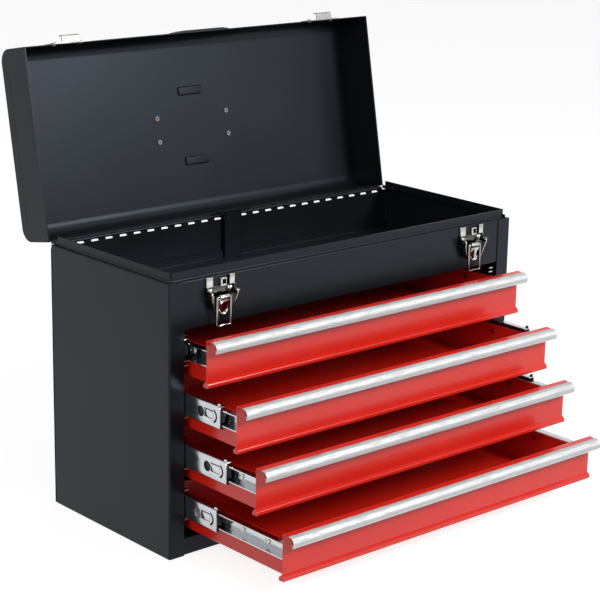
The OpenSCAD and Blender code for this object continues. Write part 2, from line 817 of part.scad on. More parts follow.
module handle_bail() {
    pin_in = bracket_span / 2 - bracket_w / 2 - 2;
    color(zinc) at_handle() mirrored() {
        rod_x(pin_in, arm_x - elbow_r, handle_r);
        translate([arm_x - elbow_r, 0, -elbow_r]) elbow(elbow_r, handle_r);
        translate([arm_x, 0, elbow_r - handle_reach]) cylinder(r = handle_r, h = handle_reach - 2 * elbow_r);
        translate([arm_x - elbow_r, 0, elbow_r - handle_reach]) mirror([0, 0, 1]) elbow(elbow_r, handle_r);
        translate([0, 0, -handle_reach]) rod_x(0, arm_x - elbow_r, handle_r);
    }
}

module handle_grip() {
    half = arm_x - elbow_r - 4;
    color(black) at_handle() translate([0, 0, -handle_reach]) difference() {
        union() {
            rod_x(-half, half, grip_r - 2);
            for (s = [-1, 1]) translate([s * (half - 4), 0, 0]) rod_x(-4, 4, grip_r);
            for (n = [-3 : 3]) translate([n * 12, 0, 0]) rod_x(-4, 4, grip_r - 1);
        }
        rod_x(-half - 1, half + 1, handle_r);
    }
}

// Latches ---------------------------------------------------------------------------------------

base_z = [latch_z - 3.5, shoulder_h - 0.2];
strip_x = 11.5;
strip_stand = 3.4;
strip_z = latch_z + 7.6;
latch_rivet_r = 2;
latch_rivet_x = 13.8;
latch_rivet_z = latch_z + 2.8;
ear_r = 3.4;

// Holes for one latch's rivets, through its base and the apron
module latch_rivet_holes() {
    for (s = [-1, 1])
        translate([s * latch_rivet_x, apron_y - 2 * plate_t, latch_rivet_z]) rotate([-90, 0, 0])
            cylinder(r = latch_rivet_r + bore_gap, h = 2 * plate_t + 2 * sheet_t);
}

// A riveted plate with two raised strips over it and an ear at each side
module latch_bases() {
    half = latch_w / 2;
    strip_y = apron_y - strip_stand;
    color(nickel) sides(latch_x) difference() {
        union() {
            block([-half, half], [apron_y - plate_t, apron_y], [base_z[0], strip_z - plate_t / 2]);
            mirrored() {
                block([strip_x, half], [strip_y, apron_y], [strip_z - plate_t, strip_z]);
                along_z(strip_z - plate_t, base_z[1])
                    polygon([[strip_x, strip_y], [half, strip_y], [half, apron_y],
                             [half - plate_t, apron_y], [half - plate_t, strip_y + plate_t],
                             [strip_x, strip_y + plate_t]]);
                along_x(half - plate_t, half) {
                    translate([latch_y, latch_z]) circle(r = ear_r);
                    translate([latch_y, latch_z - ear_r]) square([apron_y - latch_y, 2 * ear_r]);
                    translate([strip_y, latch_z]) square([strip_stand, strip_z - latch_z]);
                }
            }
        }
        translate([0, latch_y, latch_z]) rod_x(-half - 1, half + 1, pin_r);
        latch_rivet_holes();
    }
}

// Domed rivets through the latch bases
module latch_rivets() {
    color(nickel) sides(latch_x)
        for (s = [-1, 1])
            translate([s * latch_rivet_x, apron_y - plate_t, latch_rivet_z]) {
                intersection() {
                    translate([0, 2.6, 0]) sphere(r = 4.2);
                    rotate([90, 0, 0]) cylinder(r = 4, h = 3);
                }
                rotate([-90, 0, 0]) cylinder(r = latch_rivet_r, h = plate_t + sheet_t);
            }
}

// Short pins in the ears, so that the bail can swing up between them
module latch_pins() {
    color(zinc) sides(latch_x) mirrored() translate([0, latch_y, latch_z])
        rod_x(lever_half - plate_t - 0.6, latch_w / 2 + 0.2, pin_r);
}

lever_half = latch_w / 2 - plate_t - 0.4;
lever_foot = 13;
lever_t = 1.2;
bail_bend = 3;
ring_r = 6.2;
barrel_r = 2.4;
barrel_w = 2 * (bail_half_w - bail_bend) - 0.1;

// The lever: a tapered channel, a barrel for the bail and a round finger pad with a lip
module latch_lever() {
    face_y = bail_y + bail_r + 0.25;
    back_y = face_y + lever_t;
    ring_z = latch_z - lever_l + ring_r;
    plate_z = latch_z - 3.2;
    foot_z = ring_z - 2;
    lip = 1.4;
    color(nickel) difference() {
        union() {
            along_y(face_y, back_y) {
                polygon([[-lever_half, plate_z], [-lever_foot, foot_z], [lever_foot, foot_z],
                         [lever_half, plate_z]]);
                translate([0, ring_z]) circle(r = ring_r);
            }
            mirrored() intersection() {
                along_x(0, lever_half) {
                    translate([latch_y, latch_z]) circle(r = ear_r - 0.4);
                    polygon([[latch_y - 3, latch_z], [back_y, latch_z], [back_y, foot_z],
                             [face_y - 0.4, foot_z]]);
                }
                along_y(latch_y - ear_r, latch_y + ear_r)
                    polygon([[lever_half - plate_t, latch_z + ear_r], [lever_half, latch_z + ear_r],
                             [lever_half, plate_z], [lever_foot, foot_z],
                             [lever_foot - plate_t, foot_z], [lever_half - plate_t, plate_z]]);
            }
            difference() {
                translate([0, face_y - lip, ring_z]) rotate([-90, 0, 0]) cylinder(r = ring_r, h = lip + 0.2);
                translate([0, face_y - lip - 1, ring_z]) rotate([-90, 0, 0])
                    cylinder(r = ring_r - lever_t, h = lip + 2);
                block([-ring_r, ring_r], [face_y - lip - 1, back_y], [ring_z - 1, ring_z + ring_r]);
            }
            translate([0, bail_y, bail_z]) rod_x(-barrel_w / 2, barrel_w / 2, barrel_r);
            block([-barrel_w / 2, barrel_w / 2], [bail_y, face_y + lever_t / 2],
                  [bail_z - barrel_r, bail_z]);
        }
        mirrored() translate([0, latch_y, latch_z]) rod_x(barrel_w, latch_w, pin_r + pin_gap);
        translate([0, bail_y, bail_z]) rod_x(-barrel_w, barrel_w, bail_r + pin_gap);
    }
}

module latch_lever_left() {
    translate([-latch_x, 0, 0]) latch_lever();
}

module latch_lever_right() {
    translate([latch_x, 0, 0]) latch_lever();
}

// The wire bail, hanging from the lever's barrel
module latch_bail() {
    x = bail_half_w;
    color(nickel) translate([0, bail_y, bail_z]) mirrored() {
        rod_x(x - 5.5, x - bail_bend, bail_r);
        translate([x - bail_bend, 0, -bail_bend]) elbow(bail_bend, bail_r);
        translate([x, 0, bail_bend - bail_l]) cylinder(r = bail_r, h = bail_l - 2 * bail_bend);
        translate([x - bail_bend, 0, bail_bend - bail_l]) mirror([0, 0, 1]) elbow(bail_bend, bail_r);
        translate([0, 0, -bail_l]) rod_x(0, x - bail_bend, bail_r);
    }
}

module latch_bail_left() {
    translate([-latch_x, 0, 0]) latch_bail();
}

module latch_bail_right() {
    translate([latch_x, 0, 0]) latch_bail();
}

side_panel_left();
side_panel_right();
back_panel();
bottom_pan();
apron_panel();
tray_floor();
slide_channels();
slide_outers();
channel_screws();
hinge_rod();
lock_bar();
lock_bar_guides();
latch_bases();
latch_rivets();
latch_pins();
latch_lever_left();
latch_lever_right();
latch_bail_left();
latch_bail_right();
lid_skin();
lid_end_left();
lid_end_right();
lid_rivets();
keepers();
name_plate();
handle_brackets();
handle_bail();
handle_grip();
for (i = [0 : drawers - 1]) {
    drawer_front(i);
    drawer_tray(i);
    drawer_pull(i);
    slide_inner(i);
    drawer_screws(i);
    slide_mid(i);
    inner_ball_cage(i);
    outer_ball_cage(i);
}
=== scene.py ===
"""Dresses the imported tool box: finishes, modelled fittings, light and camera."""

from __future__ import annotations

import json
import logging
import math
from collections.abc import Callable, Iterator
from contextlib import contextmanager
from dataclasses import dataclass, field
from enum import Enum

import bpy
from mathutils import Euler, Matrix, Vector

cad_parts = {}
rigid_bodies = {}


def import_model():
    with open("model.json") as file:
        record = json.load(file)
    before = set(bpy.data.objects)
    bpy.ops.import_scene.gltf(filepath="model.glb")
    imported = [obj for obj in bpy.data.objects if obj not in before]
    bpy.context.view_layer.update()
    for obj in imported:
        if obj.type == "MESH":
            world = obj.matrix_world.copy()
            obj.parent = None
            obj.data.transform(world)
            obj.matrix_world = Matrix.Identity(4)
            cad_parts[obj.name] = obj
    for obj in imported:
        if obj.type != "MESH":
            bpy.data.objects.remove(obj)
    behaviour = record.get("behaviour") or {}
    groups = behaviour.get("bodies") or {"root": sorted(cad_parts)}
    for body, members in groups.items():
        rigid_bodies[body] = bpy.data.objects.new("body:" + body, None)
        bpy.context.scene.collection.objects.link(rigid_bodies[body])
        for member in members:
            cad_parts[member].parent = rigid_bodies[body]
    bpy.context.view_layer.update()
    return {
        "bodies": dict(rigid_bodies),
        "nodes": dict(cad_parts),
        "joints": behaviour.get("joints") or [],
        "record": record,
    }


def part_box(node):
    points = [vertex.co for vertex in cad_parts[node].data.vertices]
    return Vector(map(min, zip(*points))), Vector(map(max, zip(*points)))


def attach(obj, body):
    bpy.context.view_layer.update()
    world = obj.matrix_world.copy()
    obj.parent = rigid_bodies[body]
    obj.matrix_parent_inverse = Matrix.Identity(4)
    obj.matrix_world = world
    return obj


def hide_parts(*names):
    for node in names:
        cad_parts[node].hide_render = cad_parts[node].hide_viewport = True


LOG = logging.getLogger("tool_box")
MM = 0.001
DRAWERS = range(1, 5)  # from the top down
SIDES = ((-1, "left"), (1, "right"))
WHITE = (1.0, 1.0, 1.0, 1.0)
Pair = tuple[float, float]
Point = tuple[float, float, float]
Outline = tuple[Pair, ...]
Colour = tuple[float, float, float]


# Finishes ----------------------------------------------------------------------------------------


class Graph:
    """A material's node tree, with its shader and its object coordinates at hand."""

    def __init__(self, name: str) -> None:
        """Makes the material.

        Args:
            name: the material's name.
        """
        self.material = bpy.data.materials.new(name)
        self.material.use_nodes = True
        self.tree = self.material.node_tree
        self.shader = self.tree.nodes["Principled BSDF"]
        self.place = self.tree.nodes.new("ShaderNodeTexCoord").outputs["Object"]

    def add(self, kind: str, **values: object) -> bpy.types.Node:
        """Adds a node.

        Args:
            kind: the node's type, without the leading ShaderNode.
            values: its properties by name.

        Returns:
            The node.
        """
        node = self.tree.nodes.new("ShaderNode" + kind)
        for name, value in values.items():
            setattr(node, name, value)
        return node

    def link(self, source: bpy.types.NodeSocket, target: bpy.types.NodeSocket) -> None:
        """Joins an output to an input."""
        self.tree.links.new(source, target)

    def set(self, **values: object) -> None:
        """Sets the shader's own sockets, with spaces written as underscores."""
        for name, value in values.items():
            self.shader.inputs[name.replace("_", " ")].default_value = value

    def mapping(self, scale: Point) -> bpy.types.NodeSocket:
        """Scales the object coordinates.

        Args:
            scale: the factor along each axis.

        Returns:
            The scaled coordinates.
        """
        node = self.add("Mapping")
        node.inputs["Scale"].default_value = scale
        self.link(self.place, node.inputs["Vector"])
        return node.outputs["Vector"]

    def noise(self, scale: float, detail: float = 2.0, place: bpy.types.NodeSocket | None = None,
              rough: float = 0.5) -> bpy.types.NodeSocket:
        """Adds a noise pattern.

        Args:
            scale: features per metre.
            detail: octaves.
            place: coordinates, or the object's own.
            rough: how strong the fine octaves are.

        Returns:
            The pattern, from 0 to 1.
        """
        node = self.add("TexNoise")
        node.inputs["Scale"].default_value = scale
        node.inputs["Detail"].default_value = detail
        node.inputs["Roughness"].default_value = rough
        self.link(place or self.place, node.inputs["Vector"])
        return node.outputs["Fac"]

    def roughen(self, pattern: bpy.types.NodeSocket, low: float, high: float) -> None:
        """Varies the shader's roughness by the middle range of a pattern.

        Args:
            pattern: the pattern.
            low: the roughness where it is low.
            high: the roughness where it is high.
        """
        node = self.add("MapRange")
        for name, value in (("From Min", 0.3), ("From Max", 0.7), ("To Min", low), ("To Max", high)):
            node.inputs[name].default_value = value
        self.link(pattern, node.inputs["Value"])
        self.link(node.outputs["Result"], self.shader.inputs["Roughness"])

    def colour(self, pattern: bpy.types.NodeSocket, dark: Colour, light: Colour) -> None:
        """Colours the shader by a pattern.

        Args:
            pattern: the pattern.
            dark: the colour where it is low.
            light: the colour where it is high.
        """
        node = self.add("Mix", data_type="RGBA")
        node.inputs["A"].default_value = (*dark, 1.0)
        node.inputs["B"].default_value = (*light, 1.0)
        self.link(pattern, node.inputs["Factor"])
        self.link(node.outputs[2], self.shader.inputs["Base Color"])

    def bump(self, height: bpy.types.NodeSocket, strength: float, distance: float) -> None:
        """Raises the surface by a pattern.

        Args:
            height: the pattern.
            strength: how much of it shows.
            distance: its height in metres.
        """
        node = self.add("Bump")
        node.inputs["Strength"].default_value = strength
        node.inputs["Distance"].default_value = distance
        self.link(height, node.inputs["Height"])
        self.link(node.outputs["Normal"], self.shader.inputs["Normal"])


@dataclass(frozen=True)
class PowderCoat:
    """Baked powder paint with a fine grain."""

    name: str
    light: Colour
    dark: Colour
    roughness: float = 0.34
    specular: float = 0.22
    sheen_tint: Colour = (0.70, 0.82, 1.0)
    uneven: float = 0.04
    cloud: float = 9.0
    grain: float = 1400.0
    grain_strength: float = 0.1
    grain_height: float = 0.0002

    def build(self) -> bpy.types.Material:
        """Mixes the paint.

        Returns:
            The paint as a material.
        """
        g = Graph(self.name)
        fine = g.noise(self.grain, 3.0)
        cloud = g.noise(self.cloud, 2.0)
        g.colour(fine, self.dark, self.light)
        g.roughen(cloud, self.roughness - self.uneven, self.roughness + self.uneven)
        g.set(Specular_IOR_Level=self.specular, Specular_Tint=(*self.sheen_tint, 1.0))
        g.bump(fine, self.grain_strength, self.grain_height)
        return g.material


@dataclass(frozen=True)
class GlossPaint:
    """Smooth glossy paint with a faint orange peel."""

    name: str
    light: Colour
    dark: Colour
    roughness: float = 0.24
    uneven: float = 0.03
    specular: float = 0.36
    coat: float = 0.22
    coat_roughness: float = 0.06
    cloud: float = 14.0
    peel: float = 420.0
    peel_strength: float = 0.05
    peel_height: float = 0.0003

    def build(self) -> bpy.types.Material:
        """Mixes the paint.

        Returns:
            The paint as a material.
        """
        g = Graph(self.name)
        cloud = g.noise(self.cloud, 2.0)
        peel = g.noise(self.peel, 1.0)
        g.colour(cloud, self.dark, self.light)
        g.roughen(cloud, self.roughness - self.uneven, self.roughness + self.uneven)
        g.set(Specular_IOR_Level=self.specular, Coat_Weight=self.coat, Coat_Roughness=self.coat_roughness)
        g.bump(peel, self.peel_strength, self.peel_height)
        return g.material


@dataclass(frozen=True)
class PlatedSteel:
    """Plated or polished metal with faint drawn streaks."""

    name: str
    light: Colour
    dark: Colour
    roughness: float = 0.18
    streak: Point = (60.0, 6.0, 420.0)
    streak_strength: float = 0.05
    streak_height: float = 0.0002
    spots: float = 70.0

    def build(self) -> bpy.types.Material:
        """Plates the metal.

        Returns:
            The metal as a material.
        """
        g = Graph(self.name)
        streaks = g.noise(1.0, 3.0, g.mapping(self.streak), 0.6)
        g.colour(g.noise(self.spots, 3.0), self.dark, self.light)
        g.roughen(streaks, self.roughness * 0.7, self.roughness * 1.3)
        g.set(Metallic=1.0)
        g.bump(streaks, self.streak_strength, self.streak_height)
        return g.material


@dataclass(frozen=True)
class MouldedPlastic:
    """Moulded plastic with a fine leathery grain."""

    name: str
    light: Colour
    dark: Colour
    roughness: float = 0.5
    uneven: float = 0.06
    grain: float = 900.0
    grain_strength: float = 0.3
    grain_height: float = 0.0004

    def build(self) -> bpy.types.Material:
        """Moulds the plastic.

        Returns:
            The plastic as a material.
        """
        g = Graph(self.name)
        grain = g.noise(self.grain, 2.0)
        g.colour(grain, self.dark, self.light)
        g.roughen(grain, self.roughness - self.uneven, self.roughness + self.uneven)
        g.bump(grain, self.grain_strength, self.grain_height)
        return g.material


class Finish(Enum):
    """The finishes on the tool box."""

    CASE = PowderCoat("case_powder_coat", (0.0060, 0.0072, 0.0092), (0.0030, 0.0036, 0.0047))
    # Near-black powder coat for the rings at the lid beads' foot: painted shade.
    CREASE = PowderCoat("painted_shade_powder_coat", (0.0010, 0.0011, 0.0013), (0.0008, 0.0009, 0.0010))
    DRAWER = GlossPaint("drawer_gloss_paint", (0.62, 0.0170, 0.0090), (0.57, 0.0145, 0.0078))
    ZINC = PlatedSteel("zinc_plate", (0.60, 0.61, 0.63), (0.46, 0.48, 0.51), 0.16)
    NICKEL = PlatedSteel("nickel_plate", (0.54, 0.53, 0.50), (0.44, 0.43, 0.40), 0.12,
                         (240.0, 240.0, 90.0), 0.1)
    # Nickel darkened to stand for the shade on the latch plates and lever webs: painted shade.
    SHADED = PlatedSteel("shaded_nickel", (0.11, 0.105, 0.095), (0.06, 0.058, 0.054), 0.10,
                         (240.0, 240.0, 90.0), 0.1)
    WIRE = PlatedSteel("drawn_wire", (0.32, 0.30, 0.295), (0.24, 0.225, 0.22), 0.14)
    DULL = PlatedSteel("dull_nickel", (0.30, 0.29, 0.28), (0.22, 0.21, 0.20), 0.42)
    TRIM = PlatedSteel("ribbed_aluminium", (0.50, 0.505, 0.51), (0.45, 0.455, 0.46), 0.62)
    CHROME = PlatedSteel("polished_bar", (0.80, 0.80, 0.80), (0.70, 0.70, 0.70), 0.08)
    OILED = PlatedSteel("oiled_steel", (0.30, 0.31, 0.32), (0.20, 0.20, 0.21), 0.3)
    GRIP = MouldedPlastic("grip_plastic", (0.018, 0.018, 0.019), (0.010, 0.010, 0.011))


class Paintbox:
    """Builds each finish once and lays it on pieces."""

    def __init__(self) -> None:
        """Starts with no finish built."""
        self.built: dict[Finish, bpy.types.Material] = {}

    def material(self, finish: Finish) -> bpy.types.Material:
        """Finds a finish's material and builds it the first time.

        Args:
            finish: the finish.

        Returns:
            Its material.
        """
        if finish not in self.built:
            self.built[finish] = finish.value.build()
        return self.built[finish]

    def lay(self, piece: bpy.types.Object, finish: Finish) -> None:
        """Gives a piece its finish all over."""
        piece.data.materials.clear()
        piece.data.materials.append(self.material(finish))


# Bench -------------------------------------------------------------------------------------------


class Bench:
    """Models pieces by hand tools. Sizes are in millimetres, and a piece's place is in its mesh."""

    def __init__(self, paint: Paintbox) -> None:
        """Sets up the bench.

        Args:
            paint: the finishes.
        """
        self.paint = paint

    def take(self, *pieces: bpy.types.Object) -> None:
        """Selects only these pieces and makes the first one active.

        Args:
            pieces: the pieces, or none to deselect all.
        """
        bpy.ops.object.select_all(action="DESELECT")
        for piece in pieces:
            piece.select_set(True)
        bpy.context.view_layer.objects.active = pieces[0] if pieces else None

    @contextmanager
    def edit(self, piece: bpy.types.Object) -> Iterator[None]:
        """Opens a piece in edit mode with all of it selected, and closes it again.

        Args:
            piece: the piece.
        """
        self.take(piece)
        bpy.ops.object.mode_set(mode="EDIT")
        bpy.ops.mesh.select_mode(type="VERT")
        bpy.ops.mesh.select_all(action="SELECT")
        yield
        bpy.ops.object.mode_set(mode="OBJECT")

    def pick(self, piece: bpy.types.Object, wanted: Callable[[Vector], bool]) -> None:
        """Selects a piece's vertices by their place.

        Args:
            piece: the piece, open in edit mode.
            wanted: says for a place in millimetres whether it is selected.
        """
        bpy.ops.mesh.select_all(action="DESELECT")
        bpy.ops.object.mode_set(mode="OBJECT")
        for vertex in piece.data.vertices:
            vertex.select = wanted(vertex.co / MM)
        bpy.ops.object.mode_set(mode="EDIT")

    def path(self, name: str, points: list[Point], bend: float = 0.0) -> bpy.types.Object:
        """Draws a path, one point after the other.

        Args:
            name: the piece's name.
            points: its points.
            bend: the radius of its bends, or 0 for sharp ones.

        Returns:
            The path.
        """
        places = [Vector(p) * MM for p in points]
        self.take()
        bpy.ops.mesh.primitive_plane_add(size=MM, location=(0, 0, 0))
        piece = bpy.context.object
        piece.name = piece.data.name = name
        with self.edit(piece):
            bpy.ops.mesh.merge(type="CENTER")
            bpy.ops.transform.translate(value=places[0])
            for a, b in zip(places, places[1:]):
                bpy.ops.mesh.extrude_vertices_move(TRANSFORM_OT_translate={"value": b - a})
            if bend:
                bends = [b for a, b, c in zip(places, places[1:], places[2:])
                         if min((a - b).length, (c - b).length) > 2 * bend * MM]
                self.pick(piece, lambda p: any((p * MM - b).length < MM / 100 for b in bends))
                bpy.ops.mesh.bevel(offset=bend * MM, offset_type="OFFSET", segments=4, affect="VERTICES")
        return piece

    def tidy(self, piece: bpy.types.Object) -> None:
        """Merges a piece's doubles and turns its faces outwards.

        Args:
            piece: the piece.
        """
        with self.edit(piece):
            bpy.ops.mesh.remove_doubles(threshold=MM / 1000)
            bpy.ops.mesh.normals_make_consistent(inside=False)

    def prism(self, name: str, outline: list[Point], along: Point) -> bpy.types.Object:
        """Fills an outline and extrudes it.

        Args:
            name: the piece's name.
            outline: its corners.
            along: the extrusion.

        Returns:
            The solid.
        """
        piece = self.path(name, outline)
        with self.edit(piece):
            bpy.ops.mesh.edge_face_add()
            bpy.ops.mesh.extrude_region_move(TRANSFORM_OT_translate={"value": Vector(along) * MM})
        self.tidy(piece)
        return piece

    def sheet(self, name: str, points: list[Point], along: Point, thickness: float,
              bend: float) -> bpy.types.Object:
        """Folds a sheet, with the path in the middle of its thickness.

        Args:
            name: the piece's name.
            points: the path of its section.
            along: the extrusion.
            thickness: the sheet's thickness.
            bend: the radius of its folds.

        Returns:
            The sheet.
        """
        piece = self.path(name, points, bend)
        with self.edit(piece):
            bpy.ops.mesh.extrude_edges_move(TRANSFORM_OT_translate={"value": Vector(along) * MM})
        self.tidy(piece)
        self.modify(piece, "SOLIDIFY", thickness=thickness * MM, offset=0.0, use_even_offset=True)
        self.tidy(piece)
        return piece

    def lathe(self, name: str, profile: list[Point], centre: Point, axis: Point,
              steps: int = 48) -> bpy.types.Object:
        """Spins a profile into a turned piece.

        Args:
            name: the piece's name.
            profile: the path that is spun.
            centre: a point on the axis.
            axis: the axis.
            steps: how many steps a turn has.

        Returns:
            The turned piece.
        """
        piece = self.path(name, profile)
        with self.edit(piece):
            bpy.ops.mesh.spin(steps=steps, angle=math.tau, center=Vector(centre) * MM, axis=axis)
        self.tidy(piece)
        return piece

    def wire(self, name: str, points: list[Point], radius: float, bend: float) -> bpy.types.Object:
        """Bends a wire.

        Args:
            name: the piece's name.
            points: the path of its middle.
            radius: the wire's radius.
            bend: how far from a corner its bend starts.

        Returns:
            The wire.
        """
        piece = self.path(name, points, bend)
        self.take(piece)
        bpy.ops.object.convert(target="CURVE")
        piece = bpy.context.object
        piece.data.bevel_depth = radius * MM
        piece.data.bevel_resolution = 4
        piece.data.use_fill_caps = True
        bpy.ops.object.convert(target="MESH")
        self.tidy(bpy.context.object)
        return bpy.context.object

    def modify(self, piece: bpy.types.Object, kind: str, **values: object) -> None:
        """Adds a modifier and applies it.

        Args:
            piece: the piece.
            kind: the modifier's type.
            values: its settings by name.
        """
        self.take(piece)
        modifier = piece.modifiers.new(kind.title(), kind)
        for name, value in values.items():
            setattr(modifier, name, value)
        bpy.ops.object.modifier_apply(modifier=modifier.name)

    def soften(self, piece: bpy.types.Object, width: float) -> None:
        """Rounds a piece's sharp edges by a small bevel."""
        self.modify(piece, "BEVEL", width=width * MM, segments=2, limit_method="ANGLE",
                    angle_limit=math.radians(40), use_clamp_overlap=True)

    def cut(self, piece: bpy.types.Object, *cutters: bpy.types.Object) -> None:
        """Cuts the cutters out of a piece and discards them.

        Args:
            piece: the piece.
            cutters: the solids that are cut out of it.
        """
        for cutter in cutters:
            self.modify(piece, "BOOLEAN", operation="DIFFERENCE", object=cutter, solver="EXACT")
            bpy.data.objects.remove(cutter)

    def copy(self, piece: bpy.types.Object, name: str, shift: Point = (0, 0, 0),
             flip: bool = False) -> bpy.types.Object:
        """Copies a piece with its own mesh.

        Args:
            piece: the piece.
            name: the copy's name.
            shift: how far the copy is moved.
            flip: whether it is mirrored across the middle of the box first.

        Returns:
            The copy.
        """
        self.take(piece)
        bpy.ops.object.duplicate()
        twin = bpy.context.object
        twin.name = twin.data.name = name
        with self.edit(twin):
            if flip:
                bpy.ops.transform.mirror(constraint_axis=(True, False, False), center_override=(0, 0, 0))
            bpy.ops.transform.translate(value=Vector(shift) * MM)
        self.tidy(twin)
        return twin

    def join(self, name: str, *pieces: bpy.types.Object) -> bpy.types.Object:
        """Joins pieces into the first one.

        Args:
            name: the joined piece's name.
            pieces: the pieces.

        Returns:
            The joined piece.
        """
        self.take(*pieces)
        bpy.ops.object.join()
        pieces[0].name = pieces[0].data.name = name
        return pieces[0]

    def mount(self, piece: bpy.types.Object, finish: Finish, slot: str, body: str, *nodes: str) -> None:
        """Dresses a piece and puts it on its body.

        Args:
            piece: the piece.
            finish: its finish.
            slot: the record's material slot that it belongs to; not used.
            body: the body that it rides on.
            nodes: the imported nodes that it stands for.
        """
        self.take(piece)
        bpy.ops.object.shade_smooth_by_angle(angle=math.radians(32))
        self.paint.lay(piece, finish)
        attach(piece, body)
        if nodes:
            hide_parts(*nodes)
        LOG.info("%s: %d faces on %s", piece.name, len(piece.data.polygons), body)


def arc(centre: Pair, radius: float, start: float, end: float, steps: int) -> list[Pair]:
    """Returns points on an arc.

    Args:
        centre: its centre.
        radius: its radius.
        start: its first angle in degrees.
        end: its last angle in degrees.
        steps: how many steps it has.

    Returns:
        The points, first to last.
    """
    turns = [math.radians(start + (end - start) * i / steps) for i in range(steps + 1)]
    return [(centre[0] + radius * math.cos(a), centre[1] + radius * math.sin(a)) for a in turns]


def ring(centre: Pair, radius: float, steps: int) -> list[Pair]:
    """Returns the corners of a round outline, as many as its steps."""
    return arc(centre, radius, 0, 360 - 360 / steps, steps - 1)


def across(x: float, points: list[Pair]) -> list[Point]:
    """Stands (y, z) points in the plane across X."""
    return [(x, y, z) for y, z in points]


def facing(y: float, points: list[Pair]) -> list[Point]:
    """Stands (x, z) points in the plane across Y."""
    return [(x, y, z) for x, z in points]


def middle(node: str) -> Point:
    """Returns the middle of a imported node's box."""
    low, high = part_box(node)
    return tuple((a + b) / 2 / MM for a, b in zip(low, high))


def slide_front(node: str, shift: float = 0.0) -> Point:
    """Returns the front end of a slide member's middle line, moved along it by a shift."""
    return 0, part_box(node)[0][1] / MM + shift, middle(node)[2]


# CAD nodes ---------------------------------------------------------------------------------------


@dataclass
class CadFinishes:
    """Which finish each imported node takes, by its material slot or its own name."""

    by_slot: dict[str, Finish] = field(default_factory=lambda: {
        "case_paint": Finish.CASE,
        "drawer_paint": Finish.DRAWER,
        "zinc": Finish.ZINC,
        "nickel": Finish.NICKEL,
        "trim_aluminium": Finish.TRIM,
        "chrome_bar": Finish.CHROME,
        "grip_plastic": Finish.GRIP,
        "cage_steel": Finish.OILED,
    })
    by_node: dict[str, Finish] = field(default_factory=lambda: {
        "keepers": Finish.DULL,
        "lid_rivets": Finish.WIRE,
    })

    def dress(self, frame: dict, paint: Paintbox) -> None:
        """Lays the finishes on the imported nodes.

        Args:
            paint: the finishes.
        """
        slots = {part["node"]: part["material_slot"] for part in frame["record"]["subparts"]}
        for name, node in frame["nodes"].items():
            finish = self.by_node.get(name, self.by_slot[slots[name]])
            for slot in node.material_slots:
                slot.material = paint.material(finish)
            LOG.info("%s: %s", name, finish.value.name)


# Fittings, with their sizes in millimetres -------------------------------------------------------


@dataclass
class DrawerPull:
    """The ribbed pull trim over a drawer's hood."""

    half_w: float = 238.0
    reach: float = 17.3
    pitch: float = 1.0
    rib_depth: float = 0.3
    rib_steps: Outline = ((0.1, 1.0), (0.5, 1.0), (0.6, 0.0), (1.0, 0.0))
    lip_at: Pair = (-15.6, -10.65)
    lip_r: float = 0.95
    lip_turn: Pair = (160.0, 395.0)
    outline: Outline = (
        (-9.2, 0.0), (-12.2, -0.1), (-14.3, -1.2), (-15.9, -2.9), (-17.0, -5.0), (-17.3, -6.6),
        (-16.9, -9.4))
    inner: Outline = (
        (-15.9, -9.5), (-16.3, -6.8), (-16.1, -5.4), (-15.1, -3.5), (-13.7, -2.0), (-12.0, -1.0),
        (-9.2, -0.9))
    web: Outline = ((-16.3, -8.8), (-13.85, -8.8), (-13.85, -7.9), (-16.3, -7.9))

    def section(self) -> list[Pair]:
        """Draws the trim's outline, with fine ribs along its face and a curled lip at its foot.

        Returns:
            The outline's corners in Y and Z.
        """
        outer = list(self.outline[:3])
        for a, b in zip(self.outline[2:], self.outline[3:]):
            length = math.dist(a, b)
            out = ((b[1] - a[1]) / length * self.rib_depth, (a[0] - b[0]) / length * self.rib_depth)
            count = max(1, round(length / self.pitch))
            for i in range(count):
                for share, depth in self.rib_steps:
                    t = (i + share) / count
                    outer.append((a[0] + (b[0] - a[0]) * t - out[0] * depth,
                                  a[1] + (b[1] - a[1]) * t - out[1] * depth))
        return outer + arc(self.lip_at, self.lip_r, *self.lip_turn, 12) + list(self.inner)

    def build(self, bench: Bench) -> None:
        """Models the trim once and lays a copy on each drawer.

        Args:
            bench: the tools.
        """
        width = (2 * self.half_w, 0, 0)
        face = bench.prism("pull_trim", across(-self.half_w, self.section()), width)
        web = bench.prism("web", across(-self.half_w, list(self.web)), width)
        first = bench.join("pull_trim", face, web)
        for k in DRAWERS:
            low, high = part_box(f"drawer_pull_{k}")
            shift = (0, low[1] / MM + self.reach, high[2] / MM)
            trim = bench.copy(first, f"pull_trim_{k}", shift)
            bench.mount(trim, Finish.TRIM, "trim_aluminium", f"drawer_{k}", f"drawer_pull_{k}")
        bpy.data.objects.remove(first)


